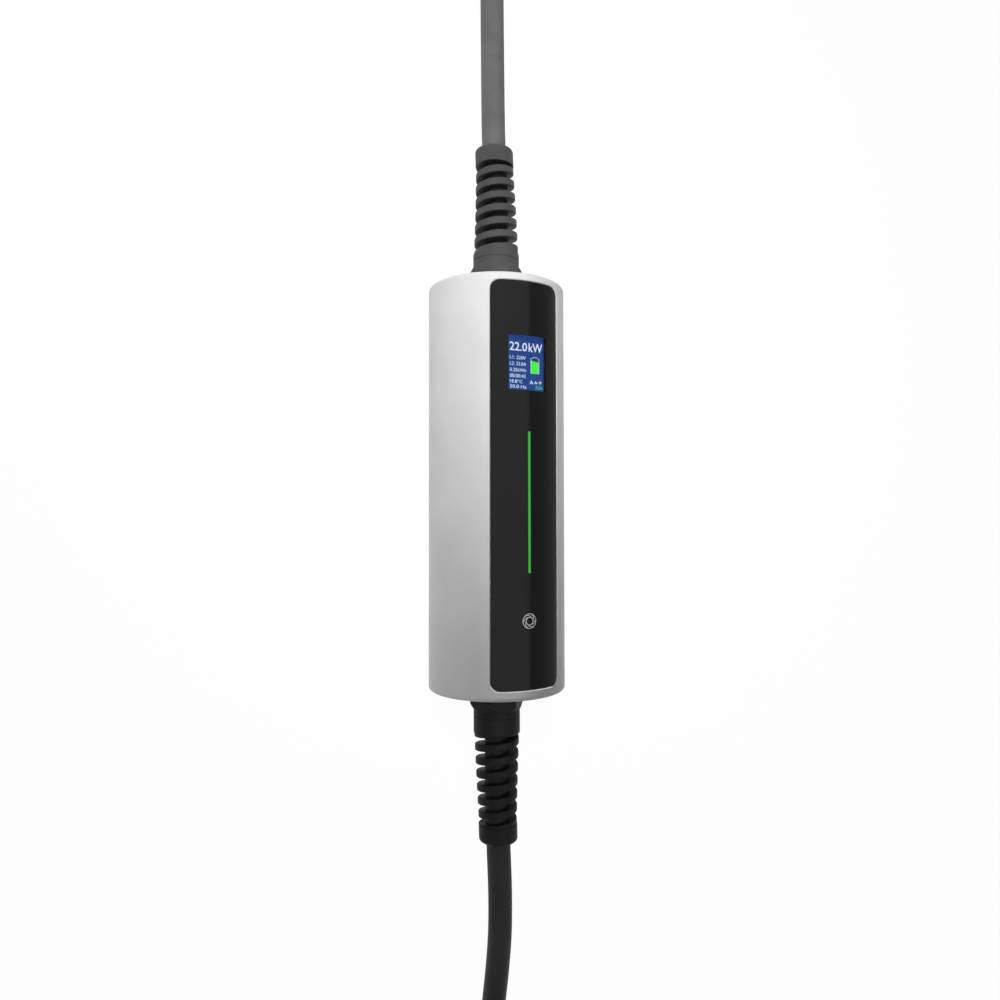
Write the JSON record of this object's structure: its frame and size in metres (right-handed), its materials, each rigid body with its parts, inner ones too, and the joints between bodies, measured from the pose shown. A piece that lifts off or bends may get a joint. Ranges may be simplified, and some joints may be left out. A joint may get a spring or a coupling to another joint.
{
  "type": "portable electric vehicle charger",
  "caption": "Round in-cable charging box with a black front panel, small display and light bar, spiral strain reliefs, a supply lead with industrial plug and a vehicle lead with connector",
  "frame": {"origin": "under the middle of the control box, on the surface that it lies on", "axes": "the box's long axis runs along Y with the supply end at +Y; its front panel faces +Z; X runs across it"},
  "size_m": [0.169, 1.4946, 0.092],
  "materials": {
    "satin_aluminium": "satin bead-blasted metallic finish",
    "black_gloss": "high gloss black",
    "black_plastic": "fine moulded texture",
    "clear_window": "clear window over a lit blue display",
    "green_light": "lit green light guide",
    "rubber": "plain matt rubber",
    "cable_jacket": "smooth satin cable sheath",
    "board_green": "green solder mask",
    "steel": "plain stainless steel",
    "plated_metal": "tin plated",
    "component_white": "moulded white plastic",
    "component_dark": "dark component bodies",
    "component_yellow": "yellow wound transformer body",
    "copper": "copper conductors",
    "plug_red": "red polyamide",
    "strap": "woven hook and loop strap"
  },
  "bodies": {
    "root": {"housing_tube": "satin_aluminium", "end_plate_supply": "satin_aluminium", "end_plate_vehicle": "satin_aluminium", "front_panel": "black_gloss", "gland_body_supply": "black_plastic", "gland_body_vehicle": "black_plastic", "gland_locknut_supply": "black_plastic", "gland_locknut_vehicle": "black_plastic", "gland_spiral_supply": "black_plastic", "gland_spiral_vehicle": "black_plastic", "plug_nut": "black_plastic", "connector_grip_left": "black_plastic", "connector_grip_right": "black_plastic", "connector_nose": "black_plastic", "display_window": "clear_window", "light_bar": "green_light", "end_gasket_supply": "rubber", "end_gasket_vehicle": "rubber", "panel_gasket": "rubber", "gland_seal_supply": "rubber", "gland_seal_vehicle": "rubber", "connector_boot": "rubber", "cable_end_supply": "cable_jacket", "cable_end_vehicle": "cable_jacket", "supply_lead": "cable_jacket", "vehicle_lead": "cable_jacket", "vehicle_lead_tail": "cable_jacket", "lead_hank": "cable_jacket", "control_board": "board_green", "main_board": "board_green", "end_screw_supply_1": "steel", "end_screw_supply_2": "steel", "end_screw_supply_3": "steel", "end_screw_supply_4": "steel", "end_screw_vehicle_1": "steel", "end_screw_vehicle_2": "steel", "end_screw_vehicle_3": "steel", "end_screw_vehicle_4": "steel", "touch_electrode": "plated_metal", "led_strip": "component_white", "relay_1": "component_white", "relay_2": "component_white", "supply_terminals": "component_white", "vehicle_terminals": "component_white", "display_module": "component_dark", "buzzer": "component_dark", "filter_capacitor_1": "component_dark", "filter_capacitor_2": "component_dark", "current_sensor": "component_dark", "board_link_cable": "component_dark", "power_supply": "component_yellow", "conductor_loom": "copper", "plug_body": "plug_red", "plug_shroud": "plug_red", "plug_insert": "plug_red", "hank_tie_1": "strap", "hank_tie_2": "strap"}
  },
  "joints": []
}
